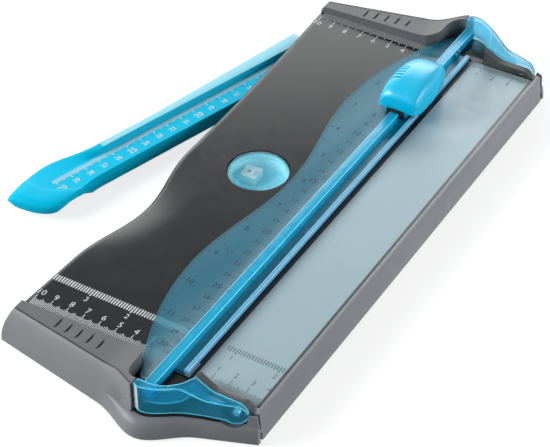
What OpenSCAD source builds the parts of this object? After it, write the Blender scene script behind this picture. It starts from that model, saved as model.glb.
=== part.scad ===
// Desk paper trimmer: a cutter head runs on the rail of a clear clamp arm that hinges on the base.
// X = 0 is the cutting line, with the paper table at -X and the off-cut side at +X.
// Y runs along the cut, with the front at -Y. Z = 0 is the desk.

/* [Base] */
// Height of the paper table above the desk
deck_h = 17; // [16:0.5:20]
// Thickness of the table plate
deck_t = 3; // [3:0.25:4]
// Cutting line to the left edge of the table at its corners
table_w = 103.8; // [100:0.5:112]
// How far the left table edge bows in at mid length
edge_bow = 4.8; // [2:0.2:6]
// Depth of the finger dip in the left table edge
dip_depth = 7.4; // [4:0.2:9]
// Place of the finger dip along Y
dip_y = -57; // [-70:1:-45]
// Half length of the finger dip
dip_reach = 52; // [40:1:60]
// Cutting line to the outside of the right wall at the desk
right_w = 45.6; // [44:0.2:50]
// How far the right wall leans in from the desk to its rim
right_lean = 1.6; // [0:0.2:2]
// Height of the right rim above the table
rim_rise = 0.8; // [0.4:0.1:2]
// Wall thickness of the mouldings
wall_t = 2.4; // [2:0.1:3]
// Clearance of the base's underside above the desk
ground_gap = 1; // [0.6:0.1:1.4]
// Underside of the tray floor
floor_z = 2; // [1.8:0.1:2.4]
// Thickness of the tray floor
floor_t = 2.5; // [2:0.1:3]
// Left edge of the tray floor, which leaves the ruler bay open
floor_left = 62; // [58:0.5:63]

/* [Ends] */
// Mid length to the inner face of each fence
fence_y = 156; // [150:0.5:160]
// Mid length to the end wall at the left corner
end_left_y = 166.9; // [165:0.1:169]
// Mid length to the point where the two straight runs of the end wall would meet
end_apex_y = 184.3; // [182:0.1:187]
// Mid length to the end wall at the right corner
end_right_y = 164.8; // [164.5:0.1:167]
// Place of that meeting point along X
end_apex_x = -4.7; // [-7:0.1:-3]
// Rounding where the two runs meet
end_blend = 6; // [3:0.5:9]
// How far the foot of the end wall stands out along its left run
foot_out = 2.5; // [1.5:0.1:3]
// Height of the bulge round the rail end, at the desk
bulge_h = 8.6; // [7.6:0.2:9.4]
// Place of the bulge along X
bulge_x = -11; // [-12:0.5:-10]
// Half width of the bulge at the desk
bulge_reach = 28; // [26:0.5:30]
// How far the top of the end wall lies behind the line of its foot
seam_in = 4.2; // [3.6:0.1:4.8]
// Height of the bulge at the top of the end wall
seam_bulge = 6.2; // [5.6:0.1:6.8]
// How far the left end flares out at the desk
left_flare = 3.4; // [2.6:0.1:3.6]
// How far the left end draws in from there to the top of the fence
left_rise = 5.7; // [4.8:0.1:6]
// Height of the fence above the table at its left end
fence_low_h = 4.2; // [3.6:0.1:4.8]
// Height of the fence above the table before the hump
fence_mid_h = 6.4; // [5.8:0.1:7]
// Height of the hump above the table
hump_h = 12; // [11.4:0.1:12.8]
// Number of grip grooves in each fence
groove_n = 5; // [3:1:6]
// Spacing of the grip grooves
groove_pitch = 6.95; // [6:0.25:8]
// Length of a grip groove
groove_l = 10; // [7:0.5:11]
// Depth of a grip groove
groove_d = 0.9; // [0.5:0.1:1.2]

/* [Off-cut side] */
// Left edge of the off-cut panel
panel_left = 2.4; // [2.2:0.1:3]
// Half length of the off-cut panel
panel_y = 156.2; // [150:0.2:156.4]
// Thickness of the off-cut panel
panel_t = 1.6; // [1.2:0.1:1.8]
// Left edge of the cutting strip
strip_left = -3.4; // [-4:0.1:-3]
// Right edge of the cutting strip
strip_right = 0.7; // [0.5:0.1:0.9]
// Thickness of the cutting strip
strip_t = 1.8; // [1.5:0.1:2]
// Depth of the cutting strip's face below the table
strip_drop = 0.5; // [0.4:0.1:0.8]

/* [Clamp arm] */
// Height of the hinge axis above the desk
hinge_z = 16.5; // [16:0.1:17.5]
// Cutting line to the hinge axis
hinge_x = 33; // [31:0.2:34]
// Radius of the bracket's round end
knuckle_r = 6.2; // [5.5:0.1:6.6]
// Radius of the hinge pins
hinge_pin_r = 2; // [1.5:0.1:2.5]
// Wall thickness of the clear mouldings
clear_t = 2; // [1.6:0.1:2.4]
// Gap between the clamp and the table, for the paper
paper_gap = 0.4; // [0.3:0.05:0.6]
// Width of the clamp plate at its waist, from the cutting line
waist_w = 33.6; // [30:0.2:36]
// Width of the clamp plate at its bellies, from the cutting line
belly_w = 44; // [40:0.2:46]
// Mid length to the widest place of each belly
belly_y = 83; // [76:1:90]
// Half length of the clamp plate
plate_y = 168.6; // [166:0.2:169]
// Rate at which the plate narrows towards its ends
plate_taper = 0.0033; // [0.003:0.0001:0.0036]
// Left face of the rail's ridge
ridge_left = -13.8; // [-14.5:0.1:-13.4]
// Right face of the rail's ridge
ridge_right = -8.3; // [-8.8:0.1:-8]
// Height of the ridge above the table
ridge_h = 5.8; // [5.5:0.1:7]
// Wall thickness of the ridge
ridge_t = 1.3; // [1:0.1:1.5]
// Thickness of the channel floor beside the ridge
channel_t = 1.6; // [1.2:0.1:2]
// Left face of the rail's lip
lip_left = -2.5; // [-2.8:0.1:-2.2]
// Right face of the rail's lip
lip_right = -0.4; // [-0.6:0.05:-0.35]
// Height of the lip above the table
lip_h = 3.4; // [3:0.1:3.8]
// Mid length to the ends of the channel and lip
channel_y = 155.6; // [150:0.2:157]
// Depth of the grooves along the ridge's sides
keeper_d = 0.6; // [0.4:0.05:0.7]
// Mid length to the hinge bracket's inner edge
bracket_y = 162.3; // [161:0.1:163]
// Radius of the bay in the hinge bracket
bay_r = 16.3; // [15:0.1:17]
// Distance of the bracket's skirt behind the end line at the rail
skirt_in = 5; // [4.7:0.1:5.3]
// The same distance at the hinge
skirt_hinge_in = 3.6; // [3.3:0.1:3.9]
// Height of the skirt's bulge
skirt_bulge = 5.8; // [5.4:0.1:6.2]
// Bottom edge of the skirt above the desk
skirt_z = 11.9; // [11.6:0.1:12.2]
// How far the lip below the skirt stands out from it
lip_out = 1.2; // [1:0.1:1.5]
// Chamfer at the left end of the brackets
bracket_chamfer = 3.4; // [2.8:0.1:4]
// How far the left end of the brackets leans in over its height
bracket_lean = 2.2; // [1.6:0.1:2.6]
// Left end of the brackets
bracket_left = -14.2; // [-15:0.1:-14]
// Gap round the brackets
bracket_gap = 1; // [0.8:0.1:1.2]

/* [Cutter head] */
// Place of the head along Y
head_y = 103; // [-120:1:125]
// Length of the head's cover
head_l = 44; // [42:0.5:48]
// Left side of the head's cover
head_left = -23.6; // [-25:0.2:-22.6]
// Right side of the head's cover
head_right = 3.4; // [3.2:0.1:4.5]
// Bottom edge of the head's cover above the table
head_drop = 4.2; // [4:0.1:5]
// Height of the head's cover above the table
head_h = 22.5; // [21.5:0.25:24]
// Wall thickness of the head's cover
head_t = 1.2; // [1:0.1:1.4]
// Length of the carriage
carriage_l = 34; // [28:0.5:38]
// Running gap between the carriage and the rail
slide_gap = 0.25; // [0.2:0.05:0.35]
// Radius of the rotary blade
blade_r = 7; // [6:0.1:7.2]
// Thickness of the rotary blade
blade_t = 0.4; // [0.3:0.05:0.5]
// Radius of the blade's axle
axle_r = 1.4; // [1:0.1:1.6]
// Downward stroke of the head
press_stroke = 1.4; // [1:0.1:1.5]
// Outer radius of the press spring
spring_r = 3; // [2.5:0.1:3.4]
// Wire radius of the press spring
spring_wire_r = 0.35; // [0.25:0.05:0.45]
// Turns of the press spring
spring_turns = 4; // [3:1:5]

/* [Storage] */
// Centre of the storage well, from the cutting line
well_x = -54.9; // [-56:0.1:-54]
// Centre of the storage well along Y
well_y = 1.2; // [-4:0.2:6]
// Radius of the well's lid
lid_r = 17.1; // [15:0.1:17.5]
// Thickness of the lid
lid_t = 1.8; // [1.6:0.1:2]
// Ring gap between the lid and the table
lid_gap = 0.9; // [0.6:0.1:1.2]
// Wall thickness of the storage cup
cup_t = 1.3; // [1.1:0.1:1.5]

/* [Extension ruler] */
// Pivot of the ruler, from the left corners of the table
pivot_in = 17.8; // [17:0.1:18.6]
// Place of the pivot along Y
pivot_y = 144.8; // [144:0.1:145.5]
// Angle of the ruler from its folded place
ruler_angle = 16.9; // [0:0.1:90]
// Underside of the ruler above the desk
ruler_z = 1.5; // [1.2:0.1:1.8]
// Height of the ruler's scale face above the desk
ruler_face_z = 10.4; // [9.5:0.1:10.8]
// Height of the ruler's fence above the desk
ruler_ridge_z = 13.4; // [12.8:0.1:13.5]
// Wall thickness of the ruler
ruler_t = 2; // [1.6:0.1:2.4]
// Pivot to the tip of the ruler
ruler_l = 241; // [238:0.5:244]
// Pivot to the start of the handle
handle_s = 196; // [192:0.5:200]
// Width of the handle on the table side
handle_right = 13.6; // [12:0.1:14.5]
// Half width of the ruler at the scale, on the table side
ruler_right = 8; // [7:0.1:9]
// Pivot line to the foot of the ruler's fence
ridge_foot = 11; // [10.5:0.1:11.5]
// Radius of the pivot boss
boss_r = 4; // [3.5:0.1:4.5]
// Running clearance of pins and bosses
run_gap = 0.05; // [0.03:0.01:0.08]

/* [Hidden] */
$fn = 64;
eps = 0.01;

dark = "#3c3d40";
pale = "#b9cdd3";
clear_blue = [0.1, 0.65, 0.85, 0.6];
cyan = "#13b9e6";
steel = "#c8ccd0";
black = "#18191b";

deck_under = deck_h - deck_t;
floor_top = floor_z + floor_t;
crest_ref = deck_h + hump_h;
fit_gap = 0.2;
hump_start_x = -38;
hump_top_x = -9;
slope_start_x = 3.5;
slope_end_x = 20.5;
slope_low_z = hinge_z + knuckle_r - 0.3;
rim_t = 0.7;
panel_right = right_w - right_lean - wall_t - fit_gap;
pivot_x = pivot_in - table_w;
web_x = -table_w + 2.8;
fence_end_x = -23.4;
fence_corner_r = 8.5;
plate_z = deck_h + paper_gap;
bay_x = -8;
bay_y = bracket_y;
land_y = 157;
land_end = bracket_y - 1.1;
land_drop = 1.6;
pocket_r = knuckle_r + bracket_gap;
pocket_right = hinge_x + pocket_r;
shelf_t = 2;
shelf_top = hinge_z - pocket_r - 0.7;
shelf_low = shelf_top - shelf_t;
step_x = bracket_left - bracket_gap;
lip_z = skirt_z - bracket_gap - 0.3;
x_step = 3;

function clamp01(t) = min(max(t, 0), 1);
function ease(t) = let (u = clamp01(t)) u * u * (3 - 2 * u);
function mix(a, b, t) = a + (b - a) * t;
function smooth_min(a, b, k) = min(a, b) - pow(max(k - abs(a - b), 0), 2) / (4 * k);
// Evenly spaced values from a to b, no further apart than step
function steps(a, b, step) = let (n = ceil(abs(b - a) / step)) [for (i = [0 : n]) mix(a, b, i / n)];
// A hump of height 1 at 0 that fades to 0 at -1 and 1
function bell(t) = pow(cos(90 * min(max(t, -1), 1)), 2);

// Mid length to the line of the base's end at x
function base_y(x) = smooth_min(
    mix(end_left_y, end_apex_y, (x + table_w) / (end_apex_x + table_w)),
    mix(end_right_y, end_apex_y, (right_w - x) / (right_w - end_apex_x)),
    end_blend
);
function foot_y(x) =
    base_y(x) + foot_out * ease((bulge_x - x) / bulge_reach) + bulge_h * bell((x - bulge_x) / bulge_reach);
function seam_y(x) = base_y(x) - seam_in + seam_bulge * bell((x - bulge_x) / 22);
function skirt_line(x) =
    base_y(x) - mix(skirt_in, skirt_hinge_in, ease((x - 14) / 18)) + skirt_bulge * bell((x - bulge_x) / 20);
function skirt_y(x) =
    skirt_line(x) - bracket_chamfer * 0.6 * clamp01((bracket_left + bracket_chamfer - x) / bracket_chamfer);
// Height of the end pieces: the fence rises to the hump, and the bracket falls to its round end
function fence_z(x) = deck_h + mix(fence_low_h, fence_mid_h, (x + table_w) / (hump_start_x + table_w));
function knuckle_z(x) = hinge_z + sqrt(max(pow(knuckle_r, 2) - pow(x - hinge_x, 2), 0));
function crest_z(x) =
    x > hinge_x ? min(slope_low_z, knuckle_z(x))
    : x < hump_top_x
        ? mix(fence_z(x), crest_ref, ease((x - hump_start_x) / (hump_top_x - hump_start_x)))
        : mix(crest_ref, slope_low_z, ease((x - slope_start_x) / (slope_end_x - slope_start_x)));
// Outside of the end wall: convex behind the fence, and a dome up to the lip below the bracket
function tall_y(x, z) =
    mix(foot_y(x), seam_y(x), pow(clamp01((z - ground_gap) / (crest_z(x) - ground_gap)), 2));
function dome_y(x, z) = let (lip = skirt_line(x) + lip_out)
    z < lip_z ? lip + (foot_y(x) - lip) * sqrt(1 - pow((z - ground_gap) / (lip_z - ground_gap), 2))
    : x < step_x ? mix(lip, seam_y(x), (z - lip_z) / (crest_z(x) - lip_z))
    : lip;
function wall_y(x, z) = mix(tall_y(x, z), dome_y(x, z), ease((x + 36) / 20));
// Inner edge of the shelf in the bracket pocket
function shelf_y(x) = min(bracket_y - fit_gap, wall_y(x, shelf_top) - wall_t - 0.6);
// Top of the end wall: it backs the fence, then drops to the lip below the bracket
function pocket_z(x) = hinge_z - sqrt(max(pow(pocket_r, 2) - pow(x - hinge_x, 2), 0));
function end_top_z(x) =
    x < step_x ? crest_z(x)
    : x < hinge_x ? min(lip_z, pocket_z(x))
    : x < pocket_right ? pocket_z(x)
    : deck_h + rim_rise;
// Left end of the end pieces at height z
function left_x(z) = -table_w - left_flare + left_rise * pow((z - ground_gap) / 20, 2);
function bay_edge(x) =
    x < bay_x ? bay_y + bay_r
    : x < bay_x + bay_r ? bay_y + sqrt(max(pow(bay_r, 2) - pow(x - bay_x, 2), 0))
    : bracket_y;
// Right side of the fence's round corner
function fence_right(y) =
    fence_end_x - fence_corner_r
        + sqrt(max(pow(fence_corner_r, 2) - pow(max(fence_y + fence_corner_r - abs(y), 0), 2), 0));
function plate_edge(y) =
    abs(y) < belly_y
        ? mix(waist_w, belly_w, (1 - cos(180 * y / belly_y)) / 2)
        : min(belly_w - plate_taper * pow(abs(y) - belly_y, 2),
            abs(y) < fence_y - 1 ? belly_w : -fence_right(y) - bracket_gap);
function table_edge(y) =
    table_w - edge_bow * (1 - pow(y / fence_y, 2)) - dip_depth * bell((y - dip_y) / dip_reach);

// A solid skinned over rings of points that all have the same number of points
module loft(rings) {
    n = len(rings[0]);
    m = len(rings);
    polyhedron(
        points = [for (r = rings) each r],
        faces = concat(
            [[for (j = [0 : n - 1]) j]],
            [[for (j = [n - 1 : -1 : 0]) (m - 1) * n + j]],
            [for (i = [0 : m - 2], j = [0 : n - 1])
                let (a = i * n + j, b = i * n + (j + 1) % n)
                each [[a, a + n, b], [b, a + n, b + n]]]
        )
    );
}
// Rings across X from y and z pairs, as a profile function gives them
module loft_x(xs, sections) {
    loft([for (i = [0 : len(xs) - 1]) [for (p = sections[i]) [xs[i], p[0], p[1]]]]);
}
module slab(points, z0, z1) {
    translate([0, 0, z0]) linear_extrude(z1 - z0) polygon(points);
}
module rod_y(x, z, r, y0, y1) {
    translate([x, y0, z]) rotate([-90, 0, 0]) cylinder(r = r, h = y1 - y0);
}
module rod_x(y, z, r, x0, x1) {
    translate([x0, y, z]) rotate([0, 90, 0]) cylinder(r = r, h = x1 - x0);
}
module at_front() {
    mirror([0, 1, 0]) children();
}

// Base

foot_r = 4.4;
foot_spots = [[0, 0], [30, 146], [30, -146], [-50, 146], [-50, -146], [11.8 - table_w, 161.4], [11.8 - table_w, -161.4]];
screw_spots = [[-40, 100], [-40, -100], [-24, 0], [22, 100], [22, -100], [22, 0]];
pad_r = 5;
pad_top = floor_top + 2;
screw_head_r = 2.8;
screw_head_h = 1.8;
screw_r = 1.15;
screw_tip = 11.5;
recess_top = floor_z + 2.3;
left_floor_y = 157.4;
cap_floor_y = 160.6;

module end_floor() {
    xs = steps(web_x + 0.8, right_w - wall_t, x_step);
    slab(concat(
        [[xs[len(xs) - 1], left_floor_y], [xs[0], left_floor_y]],
        [for (x = xs) [x, wall_y(x, shelf_low) - wall_t - fit_gap]]
    ), floor_z, floor_top);
}
// Wall between the off-cut panel and the bracket pocket: it carries the hinge pin
module hinge_land() {
    xs = steps(bay_x + bay_r, right_w - right_lean - wall_t / 2, 1.5);
    difference() {
        translate([0, land_end, 0]) rotate([90, 0, 0])
            linear_extrude(land_end - land_y)
                polygon(concat(
                    [[xs[len(xs) - 1], floor_top], [xs[0], floor_top]],
                    [for (x = xs) [x, max(crest_z(x) - land_drop, deck_h + rim_rise - fit_gap)]]
                ));
        rod_y(hinge_x, hinge_z, hinge_pin_r + run_gap, land_y - 1, bracket_y);
    }
}
module right_wall() {
    rim_z = deck_h + rim_rise;
    end = shelf_y(right_w) - fit_gap;
    translate([0, end, 0]) rotate([90, 0, 0]) linear_extrude(2 * end) polygon([
        [right_w, ground_gap], [right_w - right_lean, rim_z],
        [right_w - right_lean - wall_t, rim_z], [right_w - wall_t, ground_gap]
    ]);
}
module base_tray() {
    color(dark) difference() {
        union() {
            slab([
                [-floor_left, -left_floor_y], [right_w - wall_t, -left_floor_y],
                [right_w - wall_t, left_floor_y], [-floor_left, left_floor_y]
            ], floor_z, floor_top);
            end_floor();
            at_front() end_floor();
            hinge_land();
            at_front() hinge_land();
            right_wall();
            for (p = screw_spots) translate([p[0], p[1], floor_z]) cylinder(r = pad_r, h = pad_top - floor_z);
        }
        for (p = screw_spots) translate([p[0], p[1], 0]) {
            cylinder(r = screw_head_r + fit_gap, h = recess_top);
            cylinder(r = screw_r + fit_gap, h = pad_top + 1);
        }
    }
}
module tray_screws() {
    color(steel) for (p = screw_spots) translate([p[0], p[1], recess_top]) {
        translate([0, 0, -screw_head_h]) cylinder(r = screw_head_r, h = screw_head_h);
        cylinder(r = screw_r, h = screw_tip - recess_top);
    }
}
module rubber_feet() {
    color(black) for (p = foot_spots) translate([p[0], p[1], 0]) cylinder(r = foot_r, h = floor_z);
}

// Outside and rim of the end wall at x, from its foot
function wall_section(x, top) = let (low = min(lip_z, top), y = wall_y(x, top)) concat(
    [for (i = [0 : 6]) let (z = mix(ground_gap, low, sin(15 * i))) [wall_y(x, z), z]],
    [for (i = [1 : 4]) let (z = mix(low, top, i / 4)) top - low > 0.05 ? [wall_y(x, z), z] : [y - rim_t * i / 5, top]],
    [[y - rim_t, top]]
);
// Everything left of the slanting left end
module left_cut() {
    zs = steps(-2.17, 40, 2.3);
    translate([0, 400, 0]) rotate([90, 0, 0]) linear_extrude(400) polygon(concat(
        [[-table_w - 60, zs[len(zs) - 1]], [-table_w - 60, zs[0]]],
        [for (z = zs) [left_x(z), z]]
    ));
}
// Curved end wall with a web at its left end and an inner shelf below the bracket pocket
module end_cap() {
    lean = atan(right_lean / (deck_h + rim_rise - ground_gap));
    web_y = cap_floor_y + 2 * fit_gap;
    xs = concat(
        steps(-table_w - left_flare - 1, web_x, 2),
        [web_x + 0.4],
        steps(web_x + 3, step_x - eps, x_step),
        steps(step_x, hinge_x, x_step),
        steps(hinge_x + 1, pocket_right, 1),
        [pocket_right + eps, right_w + 1]
    );
    difference() {
        loft_x(xs, [for (x = xs) let (
            top = end_top_z(x), mid = min(deck_h - fit_gap, (top + shelf_top) / 2), rim = wall_y(x, top) - rim_t
        ) concat(
            wall_section(x, top),
            x <= web_x
                ? [[rim, mid], [web_y, mid], [web_y, shelf_top], [web_y, shelf_low],
                    [web_y, (shelf_low + ground_gap) / 2], [web_y, ground_gap]]
                : [[rim, mid], [wall_y(x, shelf_top) - wall_t, shelf_top], [shelf_y(x), shelf_top],
                    [shelf_y(x), shelf_low], [wall_y(x, shelf_low) - wall_t, shelf_low],
                    [foot_y(x) - wall_t, ground_gap]]
        )]);
        left_cut();
        // The right end follows the lean of the right wall
        translate([right_w, 0, ground_gap]) rotate([0, -lean, 0]) translate([0, 0, -20]) cube([20, 400, 60]);
    }
}
module rear_end_cap() {
    color(dark) end_cap();
}
module front_end_cap() {
    color(dark) at_front() end_cap();
}

// Paper table

function deck_outline() = let (
    ys = steps(-cap_floor_y, cap_floor_y, 6),
    xs = steps(bay_x, bay_x + bay_r - 1, 1.5),
    gap = bracket_gap,
    half = concat(
        [[fence_end_x, cap_floor_y], [bracket_left + gap, bay_y + bay_r - gap]],
        [for (x = xs) [x - gap * 0.5, bay_edge(x) - gap]],
        [[bay_x + bay_r - gap, land_y - fit_gap], [right_w - right_lean - wall_t - fit_gap, land_y - fit_gap]]
    )
) concat(
    [for (y = ys) [-table_edge(y), y]],
    half,
    [for (i = [len(half) - 1 : -1 : 0]) [half[i][0], -half[i][1]]]
);
module deck() {
    well_r = lid_r + lid_gap;
    boss_foot = ruler_z + 1.5;
    color(dark) difference() {
        union() {
            slab(deck_outline(), deck_under, deck_h);
            // Rib that deepens the plate below the cutting strip
            translate([strip_left - wall_t, -fence_y, deck_under - wall_t])
                cube([strip_right - strip_left + 2 * wall_t, 2 * fence_y, wall_t + 1]);
            translate([pivot_x, pivot_y, boss_foot]) cylinder(r = boss_r, h = deck_under + 1 - boss_foot);
            for (p = screw_spots) translate([p[0], p[1], pad_top])
                cylinder(r = pad_r - wall_t / 2, h = deck_under + 1 - pad_top);
        }
        translate([panel_left - fit_gap, -panel_y - fit_gap, deck_h - panel_t])
            cube([panel_right - panel_left + 2 * fit_gap, 2 * (panel_y + fit_gap), panel_t + 1]);
        translate([strip_left - fit_gap, -fence_y - 1, deck_h - strip_drop - strip_t])
            cube([strip_right - strip_left + 2 * fit_gap, 2 * fence_y + 2, strip_drop + strip_t + 1]);
        translate([well_x, well_y, deck_under - 1]) cylinder(r = well_r, h = deck_t + 2);
        for (p = screw_spots) translate([p[0], p[1], pad_top - 1])
            cylinder(r = screw_r + run_gap, h = screw_tip + 0.5 - pad_top + 1);
        translate([pivot_x, pivot_y, boss_foot - 1])
            cylinder(r = screw_r + run_gap, h = screw_tip + 0.5 - boss_foot + 1);
    }
}
module offcut_panel() {
    color(pale) translate([panel_left, -panel_y, deck_h - panel_t])
        cube([panel_right - panel_left, 2 * panel_y, panel_t]);
}
module cutting_strip() {
    color(black) translate([strip_left, -fence_y, deck_h - strip_drop - strip_t])
        cube([strip_right - strip_left, 2 * fence_y, strip_t]);
}

// Fence: its top rises to the hump, and its right end turns in a round corner to the bracket
module fence() {
    xs = steps(-table_w - 1, step_x, x_step);
    groove_x = -60.5;
    difference() {
        intersection() {
            loft_x(xs, [for (x = xs) let (top = crest_z(x), out = seam_y(x) - rim_t - fit_gap) [
                [out, deck_h], [out, top], [fence_y - 1, top], [fence_y - 1, deck_h]
            ]]);
            translate([0, 0, deck_h - 1]) linear_extrude(hump_h + 4) union() {
                translate([-table_w - 2, fence_y])
                    square([table_w + 2 + fence_end_x - fence_corner_r, end_apex_y - fence_y + bulge_h]);
                translate([-table_w - 2, fence_y + fence_corner_r])
                    square([table_w + 2 + fence_end_x, end_apex_y - fence_y + bulge_h]);
                translate([fence_end_x - fence_corner_r, fence_y + fence_corner_r]) circle(r = fence_corner_r);
                difference() {
                    translate([fence_end_x - 1, bay_y + bay_r - fence_corner_r])
                        square([step_x - fence_end_x + 2, end_apex_y - bay_y]);
                    translate([fence_end_x + fence_corner_r, bay_y + bay_r - fence_corner_r])
                        circle(r = fence_corner_r);
                    translate([fence_end_x + fence_corner_r, 0]) square([fence_corner_r, bay_y + bay_r]);
                }
            }
        }
        left_cut();
        for (i = [0 : groove_n - 1]) let (x = groove_x + (i - (groove_n - 1) / 2) * groove_pitch)
            translate([x, (fence_y + seam_y(x) - 1) / 2, crest_z(x) + groove_l * 0.9 - groove_d])
                rotate([0, 90, 0]) cylinder(r = groove_l * 0.9, h = 1.4, center = true);
    }
}
module rear_fence() {
    color(dark) fence();
}
module front_fence() {
    color(dark) at_front() fence();
}

// Clamp arm

module clamp_plate() {
    ys = steps(-plate_y, plate_y, 4);
    color(clear_blue) slab(concat(
        [[ridge_left, plate_y], [ridge_left, -plate_y]],
        [for (y = ys) [-plate_edge(y), y]]
    ), plate_z, plate_z + clear_t);
}
module rail_section(points, half) {
    translate([0, half, 0]) rotate([90, 0, 0]) linear_extrude(2 * half) polygon(points);
}
module guide_rail() {
    top = deck_h + ridge_h;
    keeper_z = plate_z + clear_t + 0.6;
    keeper_top = keeper_z + 1.2;
    color(clear_blue) union() {
        // Hollow ridge with a groove along each side that keeps the carriage down
        rail_section([
            [ridge_left, plate_z], [ridge_left, keeper_z], [ridge_left + keeper_d, keeper_z],
            [ridge_left + keeper_d, keeper_top], [ridge_left, keeper_top], [ridge_left, top],
            [ridge_right, top], [ridge_right, keeper_top], [ridge_right - keeper_d, keeper_top],
            [ridge_right - keeper_d, keeper_z], [ridge_right, keeper_z], [ridge_right, plate_z],
            [ridge_right - ridge_t - keeper_d, plate_z], [ridge_right - ridge_t - keeper_d, top - ridge_t],
            [ridge_left + ridge_t + keeper_d, top - ridge_t], [ridge_left + ridge_t + keeper_d, plate_z]
        ], bay_y + bay_r);
        // Channel floor and lip along the cut
        rail_section([
            [ridge_right - ridge_t / 2, plate_z], [lip_right, plate_z], [lip_right, deck_h + lip_h],
            [lip_left, deck_h + lip_h], [lip_left, plate_z + channel_t],
            [ridge_right - ridge_t / 2, plate_z + channel_t]
        ], channel_y);
    }
}
// Inner and outer side of the bracket's hollow
function hollow_in(x) = bay_edge(x) + min(clear_t, 0.35 * (skirt_y(x) - bay_edge(x)));
function hollow_out(x) = skirt_y(x) - min(clear_t, 0.45 * (skirt_y(x) - bay_edge(x)));
// Clear shell that carries the rail end and falls in a curve to the hinge
module hinge_bracket() {
    wall = clear_t;
    xs = concat(
        [bracket_left, bracket_left + bracket_chamfer, bay_x],
        steps(bay_x + 2, bay_x + bay_r, 2), steps(bay_x + bay_r + 2, hinge_x, 2)
    );
    hollow = steps(bracket_left + bracket_lean + wall, hinge_x - knuckle_r - 0.9, 1.9);
    inner_z = plate_z;
    difference() {
        union() {
            // The left end leans in
            loft([for (x = xs) let (top = x + (x > bracket_left ? 0 : bracket_lean)) [
                [x, skirt_y(x), skirt_z], [top, skirt_y(x), crest_z(x)],
                [top, bay_edge(x), crest_z(x)], [x, bay_edge(x), skirt_z]
            ]]);
            rod_y(hinge_x, hinge_z, knuckle_r, bracket_y - fit_gap / 2, skirt_y(hinge_x) + fit_gap);
        }
        loft_x(hollow, [for (x = hollow) let (top = crest_z(x) - wall, in = hollow_in(x), out = hollow_out(x)) [
            [out, skirt_z - 1], [out, top], [in, top], [in, skirt_z - 1]
        ]]);
        // The inner wall stops at the table
        loft_x(hollow, [for (x = hollow) let (in = bay_edge(x) - 1, out = mix(hollow_in(x), hollow_out(x), 0.2)) [
            [out, skirt_z - 1.5], [out, inner_z], [in, inner_z], [in, skirt_z - 1.5]
        ]]);
        rod_y(hinge_x, hinge_z, hinge_pin_r + run_gap, bracket_y - 1, skirt_y(hinge_x) - wall / 2);
    }
}
module rear_hinge_bracket() {
    color(clear_blue) hinge_bracket();
}
module front_hinge_bracket() {
    color(clear_blue) at_front() hinge_bracket();
}
module hinge_pin() {
    rod_y(hinge_x, hinge_z, hinge_pin_r, land_y + 0.5, skirt_y(hinge_x) - clear_t / 2 - 0.5);
}
module rear_hinge_pin() {
    color(steel) hinge_pin();
}
module front_hinge_pin() {
    color(steel) at_front() hinge_pin();
}

// Cutter head

head_base = deck_h + head_drop;
head_top = deck_h + head_h;
blade_gap = 0.3;
blade_z = deck_h - strip_drop + blade_gap + press_stroke + blade_r;
carriage_wall = 1.8;
carriage_top = deck_h + ridge_h + slide_gap + 3;
spring_seat = 1.2;
head_clear = 0.3;
slot_pitch = 2.85;
slot_w = 1.1;

// Section of the cover at share u of its length from the front, grown inward by inset
function head_ring(u, inset, floor_drop) =
    let (
        y = head_y + mix(-head_l / 2 + inset, head_l / 2 - inset, u),
        front = pow(1 - pow(1 - clamp01(u / 0.3), 2), 0.5),
        back = pow(1 - pow(1 - clamp01((1 - u) / 0.55), 2), 0.5),
        wide = mix(0.84, 1, front) * mix(0.5, 1, back),
        tall = mix(0.72, 1, front) * mix(0.42, 1, back),
        mid_x = (head_left + head_right) / 2,
        half = (head_right - head_left) / 2 * wide - inset,
        rise = (head_top - head_base) * tall - inset,
        n = 18
    )
    concat(
        [[mid_x - half * 0.94, y, head_base - floor_drop]],
        [for (i = [0 : n]) let (a = 180 - 180 * i / n, c = cos(a), s = sin(a), p = c > 0 ? 0.45 : 0.7)
            [mid_x + half * sign(c) * pow(abs(c), p), y, head_base + rise * mix(0.2, 1, pow(abs(s), p))]],
        [[mid_x + half * 0.94, y, head_base - floor_drop]]
    );
// Cut right through the cover that clears a rib of the rail over the whole stroke
module cover_tunnel(x0, x1, rib_z) {
    low = head_base - 1;
    translate([x0, head_y - head_l, low]) cube([x1 - x0, head_l * 2, rib_z + press_stroke + head_clear - low]);
}
module head_cover() {
    us = steps(0, 1, 1 / 14);
    color(cyan) difference() {
        loft([for (u = us) head_ring(u, 0, 0)]);
        loft([for (u = us) head_ring(u, head_t, 1)]);
        // Tunnels for the rail's ridge and lip
        cover_tunnel(ridge_left - 2.6, ridge_right + 2.4, deck_h + ridge_h);
        cover_tunnel(lip_left - head_clear, lip_right + head_clear, deck_h + lip_h);
        // Grip slots across the left shoulder
        for (i = [-2 : 2]) translate([head_left + 1.8, head_y - 1 + i * slot_pitch, head_top - 5])
            rotate([0, -40, 0]) cube([6.1, slot_w, 3]);
    }
}
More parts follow.
